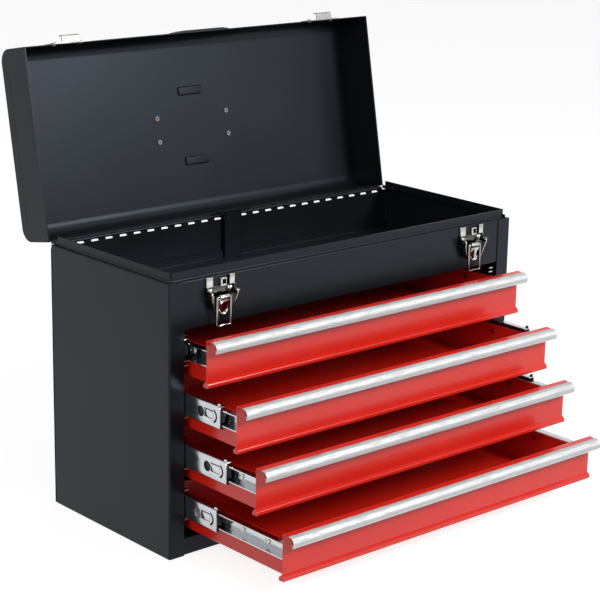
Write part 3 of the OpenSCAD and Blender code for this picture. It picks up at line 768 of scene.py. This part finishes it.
@dataclass
class SlideMid:
    """The mid members of a drawer's slides, with the black bumper inside each front end."""

    web_x: float = 239.1
    lip_x: float = 230.2
    half_h: float = 12.7
    length: float = 205.0
    thickness: float = 1.0
    fold: float = 1.1
    hole_y: float = 32.0
    hole_r: float = 5.8
    arc_y: float = 12.5
    arc_r: Pair = (5.6, 8.0)
    arc_turn: Pair = (108.0, 252.0)
    pad_y: Pair = (11.4, 25.4)
    pad_z: Pair = (-3.0, 5.0)
    pad_rise: float = 0.5
    pad_edge: float = 0.35
    slit: float = 0.9
    tab: Outline = ((0.4, 12.4), (5.4, 12.4), (4.6, 15.2), (1.2, 15.2))
    tab_in: float = 2.2
    tab_t: float = 0.9
    bumper_x: float = 230.9
    bumper_t: float = 5.9
    bumper_edge: float = 0.5
    bumper_outline: Outline = (
        (1.5, -6.4), (40.0, -6.4), (42.0, -3.0), (42.0, 3.0), (40.0, 6.4), (1.5, 6.4))

    def member(self, bench: Bench) -> bpy.types.Object:
        """Presses the right-hand member, with its front end at y = 0 and its middle at z = 0.

        Args:
            bench: the tools.

        Returns:
            The member.
        """
        half_t = self.thickness / 2
        x, z = self.web_x - half_t, self.half_h - half_t
        piece = bench.sheet("slide_mid", [(self.lip_x, 0, -z), (x, 0, -z), (x, 0, z), (self.lip_x, 0, z)],
                            (0, self.length, 0), self.thickness, self.fold)
        hole = ring((self.hole_y, 0), self.hole_r, 48)
        (inner_r, outer_r), (start, end) = self.arc_r, self.arc_turn
        slot = arc((self.arc_y, 0), outer_r, start, end, 12) + arc((self.arc_y, 0), inner_r, end, start, 12)
        (y0, y1), (z0, z1), s = self.pad_y, self.pad_z, self.slit
        over = [(y1 + 1, z1), (y1 + 1, z1 + s), (y0, z1 + s), (y0, z1)]
        under = [(y1 + 1, z0 - s), (y1 + 1, z0), (y0, z0), (y0, z0 - s)]
        bench.cut(piece, *(bench.prism("cutter", across(self.web_x - 2.5, outline), (4.0, 0, 0))
                           for outline in (hole, slot, over, under)))
        pad = bench.prism("pad", across(self.web_x - half_t, [(y0, z0), (y1, z0), (y1, z1), (y0, z1)]),
                          (half_t + self.pad_rise, 0, 0))
        bench.soften(pad, self.pad_edge)
        tab = bench.prism("tab", across(self.web_x - self.tab_in, list(self.tab)), (self.tab_t, 0, 0))
        return bench.join("slide_mid", piece, pad, tab)

    def bumper(self, bench: Bench) -> bpy.types.Object:
        """Moulds the right-hand bumper, in the member's own place.

        Args:
            bench: the tools.

        Returns:
            The bumper.
        """
        piece = bench.prism("slide_bumper", across(self.bumper_x, list(self.bumper_outline)),
                            (self.bumper_t, 0, 0))
        bench.soften(piece, self.bumper_edge)
        return piece

    def build(self, bench: Bench) -> None:
        """Models a pair of each and copies it to every drawer.

        Args:
            bench: the tools.
        """
        for make, finish, slot, label, replaced in (
                (self.member, Finish.ZINC, "zinc", "slide_mid_pressed", True),
                (self.bumper, Finish.GRIP, "grip_plastic", "slide_bumpers", False)):
            right = make(bench)
            pair = bench.join("pair", right, bench.copy(right, "left", flip=True))
            for k in DRAWERS:
                body = f"slide_mid_{k}"
                piece = bench.copy(pair, f"{label}_{k}", slide_front(body))
                bench.mount(piece, finish, slot, body, *((body,) if replaced else ()))
            bpy.data.objects.remove(pair)


@dataclass
class SlideLevers:
    """The black release levers on a drawer's inner members."""

    inner_x: float = 228.4
    thickness: float = 1.9
    forward: float = 0.8
    edge: float = 0.4
    outline: Outline = (
        (93.0, 0.4), (98.0, 3.8), (124.0, 4.6), (125.0, 3.6), (125.0, -2.6), (124.0, -3.6),
        (104.0, -3.0), (98.0, -1.4))

    def build(self, bench: Bench) -> None:
        """Models a pair and copies it to every drawer.

        Args:
            bench: the tools.
        """
        right = bench.prism("lever", across(self.inner_x, list(self.outline)), (self.thickness, 0, 0))
        bench.soften(right, self.edge)
        pair = bench.join("pair", right, bench.copy(right, "left", flip=True))
        for k in DRAWERS:
            piece = bench.copy(pair, f"slide_levers_{k}", slide_front(f"slide_inner_{k}", -self.forward))
            bench.mount(piece, Finish.GRIP, "grip_plastic", f"drawer_{k}")
        bpy.data.objects.remove(pair)


@dataclass
class Latch:
    """The draw latches: riveted bases, domed rivets, pressed levers and wire bails."""

    x: float = 192.0
    apron_y: float = -109.0
    apron_t: float = 0.9
    pivot: Pair = (-116.9, 291.0)
    bail_pivot: Pair = (-116.9, 287.0)
    half_w: float = 19.4
    plate_t: float = 1.2
    base_edge: float = 0.25
    base_z: Pair = (287.5, 309.1)
    strip_x: float = 11.5
    strip_stand: float = 3.4
    strip_z: float = 298.6
    strip_fold: float = 1.3
    strap_x: Pair = (0.4, 8.2)
    strap_top: float = 306.4
    strap_stand: float = 2.6
    strap_t: float = 0.8
    strap_fold: float = 1.2
    window_in: Point = (1.4, 2.0, 1.6)
    ear_r: float = 3.4
    rivet_x: float = 13.8
    rivet_z: float = 293.8
    rivet_r: float = 2.0
    dome_r: float = 4.0
    dome_h: float = 2.0
    lever_half_w: float = 17.8
    lever_foot: float = 13.0
    lever_face_y: float = -115.4
    lever_z: Pair = (271.2, 287.8)
    flange_in: float = 0.6
    flange_d: float = 3.0
    pad_z: float = 273.2
    pad_r: float = 6.2
    lip_r: float = 5.4
    lip_section: Pair = (0.8, 0.9)
    lip_top: float = -0.6
    tongue_half_w: Point = (5.4, 5.8, 6.6)
    tongue_z: Pair = (279.0, 283.4)
    tongue_r: float = 5.0
    tongue_t: float = 0.3
    tongue_step: float = 1.4
    lever_edge: float = 0.2
    barrel: Point = (6.2, 1.3, 2.4)
    bail_half_w: float = 9.3
    bail_l: float = 31.7
    bail_r: float = 1.25
    bail_bend: float = 1.9
    bail_hand: float = 3.8
    bail_foot: Point = (5.2, 3.2, 0.5)

    def plate(self, bench: Bench) -> bpy.types.Object:
        """Presses a base's plate with its ears, in the middle of the box.

        Args:
            bench: the tools.

        Returns:
            The plate.
        """
        h, t, step = self.half_w, self.plate_t, self.strip_z
        y, z = self.pivot
        front = self.apron_y - self.strip_stand
        rim = [(self.apron_y, z - self.ear_r), *arc((y, z), self.ear_r, 270, 90, 12),
               (front, z + self.ear_r), (front, step), (self.apron_y, step)]
        plate = bench.prism("latch_plate", facing(self.apron_y, [
            (-h, self.base_z[0]), (h, self.base_z[0]), (h, step - t / 2), (-h, step - t / 2)]), (0, -t, 0))
        ears = [bench.prism("ear", across(side * h, rim), (-side * t, 0, 0)) for side in (-1, 1)]
        whole = bench.join("latch_plate", plate, *ears)
        bench.soften(whole, self.base_edge)
        return whole

    def base(self, bench: Bench) -> bpy.types.Object:
        """Folds a base's raised strips and sets its strap, in the middle of the box.

        Args:
            bench: the tools.

        Returns:
            The strips and the strap.
        """
        h, t, step = self.half_w, self.plate_t, self.strip_z
        z1 = self.base_z[1]
        back, front, foot_z = self.apron_y, self.apron_y - self.strip_stand, step - t
        pieces = []
        for side in (-1, 1):
            inner, outer = side * self.strip_x, side * (h - t / 2)
            strip = bench.sheet("strip", [(outer, back, foot_z), (outer, front + t / 2, foot_z),
                                          (inner, front + t / 2, foot_z)],
                                (0, 0, z1 - foot_z), t, self.strip_fold)
            foot = bench.prism("foot", [(inner, front, foot_z), (side * h, front, foot_z),
                                        (side * h, back, foot_z), (inner, back, foot_z)], (0, 0, t))
            pieces += [strip, foot]
        pieces.append(self.strap(bench))
        whole = bench.join("latch_base", *pieces)
        bench.soften(whole, self.base_edge)
        return whole

    def strap(self, bench: Bench) -> bpy.types.Object:
        """Folds the strap in a base's recess and cuts its window.

        Args:
            bench: the tools.

        Returns:
            The strap.
        """
        (x0, x1), low, high = self.strap_x, self.strip_z - self.plate_t, self.strap_top
        front = self.apron_y - self.strap_stand
        strap = bench.sheet("strap", [(x0, self.apron_y, low), (x0, front, low), (x1, front, low),
                                      (x1, self.apron_y, low)],
                            (0, 0, high - low), self.strap_t, self.strap_fold)
        side, foot, top = self.window_in
        bench.cut(strap, bench.prism("window", facing(front - 1, [
            (x0 + side, low + foot), (x1 - side, low + foot), (x1 - side, high - top),
            (x0 + side, high - top)]), (0, 2, 0)))
        return strap

    def rivet(self, bench: Bench) -> bpy.types.Object:
        """Turns a domed rivet in the middle of the box.

        Args:
            bench: the tools.

        Returns:
            The rivet.
        """
        front, back, shank = self.apron_y - self.plate_t, self.apron_y + self.apron_t, self.rivet_r
        dome = [(a, front - b + self.dome_h) for a, b in arc((0, 0), self.dome_r, 30, 90, 8)]
        profile = [(0.0, back), (shank, back), (shank, front), *dome[:-1], (0.0, front - self.dome_h)]
        return bench.lathe("latch_rivet", [(x, y, self.rivet_z) for x, y in profile],
                           (0, 0, self.rivet_z), (0, 1, 0), 32)

    def web(self, bench: Bench) -> bpy.types.Object:
        """Cuts a lever's web in the middle of the box.

        Args:
            bench: the tools.

        Returns:
            The web.
        """
        h, foot = self.lever_half_w - self.flange_in, self.lever_foot - self.flange_in
        low, high = self.lever_z
        dip = math.degrees(math.asin((low - self.pad_z) / self.pad_r))
        pad = arc((0, self.pad_z), self.pad_r, dip, -180 - dip, 16)
        return bench.prism("web", facing(self.lever_face_y + self.plate_t, [
            (h, high), (foot, low), *pad, (-foot, low), (-h, high)]), (0, -self.plate_t, 0))

    def tongue(self, bench: Bench) -> bpy.types.Object:
        """Raises a lever's tongue, which tips down towards its pad.

        Args:
            bench: the tools.

        Returns:
            The tongue.
        """
        face, (a, b, c), (middle_z, top_z) = self.lever_face_y, self.tongue_half_w, self.tongue_z
        tongue = bench.prism("tongue", facing(face, [
            (-a, self.pad_z), (-b, middle_z), (-c, top_z), (c, top_z), (b, middle_z), (a, self.pad_z),
            *arc((0, self.pad_z), self.tongue_r, 0, -180, 12)[1:-1]]), (0, -self.tongue_t, 0))
        with bench.edit(tongue):
            for step_z in (middle_z - 1, top_z - 1):
                bench.pick(tongue, lambda p, z=step_z: p.y < face - 0.1 and p.z > z)
                bpy.ops.transform.translate(value=(0, -self.tongue_step * MM, 0))
        bench.soften(tongue, self.lever_edge)
        return tongue

    def lever(self, bench: Bench) -> bpy.types.Object:
        """Bends a lever's flanges, barrel, lip and tongue in the middle of the box.

        Args:
            bench: the tools.

        Returns:
            The lever without its web.
        """
        y, z = self.pivot
        face, t, flange_y = self.lever_face_y, self.plate_t, y - self.flange_d
        h, foot = self.lever_half_w - self.flange_in, self.lever_foot - self.flange_in
        low, high = self.lever_z
        pieces = []
        for side in (-1, 1):
            flange = bench.sheet("flange", facing(flange_y, [
                (side * h, z), (side * h, high), (side * foot, low)]), (0, face + t - flange_y, 0), t, 0.0)
            bench.cut(flange, bench.prism("wedge", across(side * 10, [
                (flange_y - 0.1, z + 1), (flange_y - 0.1, z), (face - 0.4, low - 0.5),
                (flange_y - 5, low - 0.5), (flange_y - 5, z + 1)]), (side * 10, 0, 0)))
            ear = bench.prism("ear", across(side * self.lever_half_w, ring((y, z), self.ear_r - 0.4, 16)),
                              (-side * t, 0, 0))
            pieces += [flange, ear]
        (by, bz), (half_l, bore, out) = self.bail_pivot, self.barrel
        pieces.append(bench.lathe("barrel", [(x, by - d, bz) for x, d in (
            (-half_l, bore), (-half_l, out), (half_l, out), (half_l, bore), (-half_l, bore))],
            (0, by, bz), (1, 0, 0), 32))
        wide, deep = self.lip_section
        lip = bench.lathe("lip", [
            (self.lip_r + wide * math.cos(a), face - 0.5 + deep * math.sin(a), self.pad_z)
            for a in (i * math.tau / 16 for i in range(17))], (0, 0, self.pad_z), (0, 1, 0), 40)
        top = self.pad_z + self.lip_top
        bench.cut(lip, bench.prism("upper", facing(face - 3, [
            (-8, top), (8, top), (8, top + 8), (-8, top + 8)]), (0, 5, 0)))
        whole = bench.join("lever", *pieces, lip, self.tongue(bench))
        bench.soften(whole, self.lever_edge)
        return whole

    def bail(self, bench: Bench) -> bpy.types.Object:
        """Bends a wire bail in the middle of the box.

        Args:
            bench: the tools.

        Returns:
            The bail.
        """
        y, z = self.bail_pivot
        h, foot = self.bail_half_w, z - self.bail_l
        outer, inner, kick = self.bail_foot
        half = [(self.bail_hand, z), (h, z), (h, foot), (outer, foot), (inner, foot + kick),
                (0.0, foot + kick)]
        points = facing(y, half) + facing(y, [(-a, b) for a, b in reversed(half[:-1])])
        return bench.wire("bail", points, self.bail_r, self.bail_bend)

    def both(self, bench: Bench, name: str, piece: bpy.types.Object,
             places: tuple[float, ...]) -> bpy.types.Object:
        """Sets a piece at both latches as one.

        Args:
            bench: the tools.
            name: the pair's name.
            piece: the piece, in the middle of the box.
            places: where its copies stand in X, from a latch's middle.

        Returns:
            The pair.
        """
        return bench.join(name, *(bench.copy(piece, "copy", (side * self.x + dx, 0, 0))
                                  for side, _ in SIDES for dx in places))

    def build(self, bench: Bench) -> None:
        """Models each piece once and sets it at both latches.

        Args:
            bench: the tools.
        """
        base, plate, rivet = self.base(bench), self.plate(bench), self.rivet(bench)
        for name, piece, places, finish, nodes in (
                ("latch_bases_pressed", base, (0.0,), Finish.NICKEL, ("latch_bases",)),
                # The plates and their ears in the darkened nickel: painted shade.
                ("latch_plates_pressed", plate, (0.0,), Finish.SHADED, ()),
                ("latch_rivets_domed", rivet, (-self.rivet_x, self.rivet_x), Finish.NICKEL,
                 ("latch_rivets",))):
            bench.mount(self.both(bench, name, piece, places), finish, "nickel", "cabinet", *nodes)
        lever, web, bail = self.lever(bench), self.web(bench), self.bail(bench)
        for side, name in SIDES:
            shift, hinged, swung = (side * self.x, 0, 0), f"latch_lever_{name}", f"latch_bail_{name}"
            bench.mount(bench.copy(lever, f"{hinged}_bent", shift), Finish.NICKEL, "nickel", hinged, hinged)
            # The web in the darkened nickel: painted shade.
            bench.mount(bench.copy(web, f"{hinged}_web", shift), Finish.SHADED, "nickel", hinged)
            bench.mount(bench.copy(bail, f"{swung}_bent", shift), Finish.WIRE, "nickel", swung, swung)
        for piece in (base, plate, rivet, lever, web, bail):
            bpy.data.objects.remove(piece)


@dataclass
class Grip:
    """The moulded grip on the handle's bar."""

    half_l: float = 58.3
    radius: float = 11.0
    end_r: float = 11.97
    bore_r: float = 4.05
    grooves: int = 8
    groove_w: float = 4.0
    groove_r: float = 9.6
    collar_l: float = 8.4
    collar: Outline = ((0.0, 1.6), (0.5, 0.5), (1.6, 0.0), (7.2, 0.0), (8.0, 0.4))
    round_in: float = 1.4
    round_mid: float = 0.5

    def build(self, bench: Bench) -> None:
        """Turns the grip on the handle's bar.

        Args:
            bench: the tools.
        """
        _, y, z = middle("handle_grip")
        h, radius, m, n = self.half_l, self.radius, self.round_mid, self.round_in
        first = h - self.collar_l
        half = [(h, self.bore_r), *((h - a, self.end_r - b) for a, b in self.collar),
                (first, self.groove_r)]
        pitch = 2 * first / self.grooves
        ridges = []
        for i in range(self.grooves):
            start = first - i * pitch - self.groove_w / 2
            end = first - (i + 1) * pitch + self.groove_w / 2
            ridges += [(start, self.groove_r), (start - m, radius - m), (start - n, radius),
                       (end + n, radius), (end + m, radius - m), (end, self.groove_r)]
        outline = half + ridges + [(-a, b) for a, b in reversed(half)] + [half[0]]
        grip = bench.lathe("handle_grip_ribbed", [(a, y - b, z) for a, b in outline],
                           (0, y, z), (1, 0, 0), 40)
        bench.mount(grip, Finish.GRIP, "grip_plastic", "handle", "handle_grip")


@dataclass
class LidBeads:
    """The two beads pressed into the lid's top, with rounded walls and a thin near-black ring of painted
    shade at their foot.
    """

    size: Point = (35.6, 10.6, 2.55)
    # The ring of painted shade round each bead: a little bigger than the bead and shifted right and down,
    # like a cast shadow.
    shade_ring: Point = (36.6, 12.2, 0.12)
    shade_ring_shift: Pair = (0.6, 0.2)
    middles: Pair = (44.9, -40.6)
    hollow: Point = (33.6, 8.6, 1.5)
    hollow_base: float = 1.0
    rounding: float = 1.9
    rounded_share: float = 0.98
    inner_z: float = 359.7
    hinge_yz: Pair = (112.8, 308.3)
    lid_turn: float = 100.6  # opens the lid, as a turn without a window runs the other way

    def block(self, bench: Bench, name: str, size: Point, at: Pair, base: float = 0.0) -> bpy.types.Object:
        """Raises a block with rounded corners on the closed lid's inner face.

        Args:
            bench: the tools.
            name: the block's name.
            size: its length, width and height.
            at: its middle in X and Y on the closed lid.
            base: how far inside the lid's sheet it starts.

        Returns:
            The block.
        """
        x, y = size[0] / 2 - self.rounding, size[1] / 2 - self.rounding
        outline = []
        for sx, sy, start in ((1, 1, 0), (-1, 1, 90), (-1, -1, 180), (1, -1, 270)):
            outline += arc((at[0] + sx * x, at[1] + sy * y), self.rounding, start, start + 90, 8)
        return bench.prism(name, [(a, b, self.inner_z + base) for a, b in outline],
                           (0, 0, -size[2] - base))

    def press(self, bench: Bench, name: str, size: Point, at: Pair, bead_y: float) -> bpy.types.Object:
        """Shapes a block, hollows it like the bead and opens it with the lid.

        Args:
            bench: the tools.
            name: the piece's name.
            size: its length, width and height.
            at: its middle in X and Y on the closed lid.
            bead_y: where the bead's middle is in Y.

        Returns:
            The pressed piece.
        """
        piece = self.block(bench, name, size, at)
        if size[2] > self.rounding:
            with bench.edit(piece):
                bench.pick(piece, lambda v: v.z < self.inner_z - size[2] / 2)
                bpy.ops.mesh.bevel(offset=self.rounding * self.rounded_share * MM, segments=6,
                                   affect="EDGES")
        bench.cut(piece, self.block(bench, "hollow", self.hollow, (0, bead_y), self.hollow_base))
        with bench.edit(piece):
            bpy.ops.transform.rotate(value=math.radians(self.lid_turn), orient_axis="X",
                                     center_override=Vector((0, *self.hinge_yz)) * MM)
        bench.tidy(piece)
        return piece

    def build(self, bench: Bench) -> None:
        """Presses the beads and lays the rings of painted shade at their foot.

        Args:
            bench: the tools.
        """
        for name, size, (dx, dy), finish in (
                ("lid_beads_pressed", self.size, (0, 0), Finish.CASE),
                # Painted shade: a thin near-black ring on the lid at each bead's foot.
                ("lid_bead_painted_shade", self.shade_ring, self.shade_ring_shift, Finish.CREASE)):
            pieces = [self.press(bench, "bead", size, (dx, y + dy), y) for y in self.middles]
            bench.mount(bench.join(name, *pieces), finish, "case_paint", "lid")


# Stage -------------------------------------------------------------------------------------------


@dataclass(frozen=True)
class Lamp:
    """A soft square lamp: its place, the point that it faces, its side and its power in watts."""

    name: str
    at: Point
    aim: Point
    size: float
    power: float

    def hang(self) -> None:
        """Hangs the lamp."""
        data = bpy.data.lights.new(self.name, "AREA")
        data.size = self.size
        data.energy = self.power
        lamp = bpy.data.objects.new(self.name, data)
        bpy.context.scene.collection.objects.link(lamp)
        lamp.location = self.at
        lamp.rotation_euler = (Vector(self.aim) - Vector(self.at)).to_track_quat("-Z", "Y").to_euler()


@dataclass
class Studio:
    """The floor, the lamps, the white surround and the camera."""

    lamps: tuple[Lamp, ...] = (
        Lamp("key", (0.88, -1.9, 1.35), (-0.1, 0, 0.45), 0.6, 44),
        Lamp("fill", (-2.2, -1.2, 1.3), (0, 0, 0.3), 1.2, 26),
        Lamp("top", (0.1, -0.4, 2.2), (0, 0, 0.2), 1.6, 3))
    lens_mm: float = 111.85
    sensor_mm: float = 36.0
    camera_at: Point = (-1.393849, -1.605505, 0.814945)
    camera_turn: Point = (74.4932, -0.9676, -41.0685)
    floor_size: float = 12.0
    floor_z: float = -0.0005
    surround: float = 0.27
    floor_glow: float = 0.8

    def build(self) -> None:
        """Builds the whole stage."""
        self.floor()
        self.world()
        for lamp in self.lamps:
            lamp.hang()
        self.camera()

    def floor(self) -> None:
        """Lays a plain pale floor that looks white to the camera and to reflections."""
        bpy.ops.mesh.primitive_plane_add(size=self.floor_size, location=(0, 0, self.floor_z))
        floor = bpy.context.object
        floor.name = "floor"
        floor.data.transform(floor.matrix_world)
        floor.matrix_world.identity()
        g = Graph("pale_floor")
        g.set(Base_Color=(0.5, 0.5, 0.5, 1.0), Roughness=0.9, Specular_IOR_Level=0.0,
              Emission_Color=WHITE)
        glow = g.add("Math", operation="MULTIPLY")
        glow.inputs[1].default_value = self.floor_glow
        g.link(self.seen_rays(g.tree), glow.inputs[0])
        g.link(glow.outputs[0], g.shader.inputs["Emission Strength"])
        floor.data.materials.append(g.material)

    def seen_rays(self, tree: bpy.types.NodeTree) -> bpy.types.NodeSocket:
        """Tells the rays that show the background, seen, mirrored or through glass, from the rest.

        Args:
            tree: the node tree that needs it.

        Returns:
            A socket that gives 1 for those rays and else 0.
        """
        path = tree.nodes.new("ShaderNodeLightPath")
        total = path.outputs["Is Camera Ray"]
        for name in ("Is Glossy Ray", "Is Transmission Ray"):
            most = tree.nodes.new("ShaderNodeMath")
            most.operation = "MAXIMUM"
            tree.links.new(total, most.inputs[0])
            tree.links.new(path.outputs[name], most.inputs[1])
            total = most.outputs[0]
        return total

    def world(self) -> None:
        """Makes a surround that is white to look at and softer as a light."""
        world = bpy.data.worlds.new("surround")
        bpy.context.scene.world = world
        world.use_nodes = True
        tree = world.node_tree
        light = tree.nodes["Background"]
        light.inputs["Color"].default_value = WHITE
        light.inputs["Strength"].default_value = self.surround
        seen = tree.nodes.new("ShaderNodeBackground")
        seen.inputs["Color"].default_value = WHITE
        seen.inputs["Strength"].default_value = 1.0
        mix = tree.nodes.new("ShaderNodeMixShader")
        tree.links.new(self.seen_rays(tree), mix.inputs["Fac"])
        tree.links.new(light.outputs[0], mix.inputs[1])
        tree.links.new(seen.outputs[0], mix.inputs[2])
        tree.links.new(mix.outputs[0], tree.nodes["World Output"].inputs["Surface"])

    def camera(self) -> None:
        """Sets up the camera."""
        data = bpy.data.cameras.new("camera")
        data.lens = self.lens_mm
        data.sensor_width = self.sensor_mm
        data.clip_end = 50.0
        camera = bpy.data.objects.new("camera", data)
        camera.location = self.camera_at
        camera.rotation_euler = Euler([math.radians(a) for a in self.camera_turn], "XYZ")
        bpy.context.scene.collection.objects.link(camera)
        bpy.context.scene.camera = camera
        bpy.context.scene.view_settings.view_transform = "Standard"


def main() -> None:
    """Builds the dressed tool box."""
    logging.basicConfig(level=logging.INFO, format="%(name)s: %(message)s")
    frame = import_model()
    paint = Paintbox()
    Studio().build()
    CadFinishes().dress(frame, paint)
    bench = Bench(paint)
    for fitting in (DrawerPull(), SlideMid(), SlideLevers(), Latch(), Grip(), LidBeads()):
        fitting.build(bench)


if __name__ == "__main__":
    main()
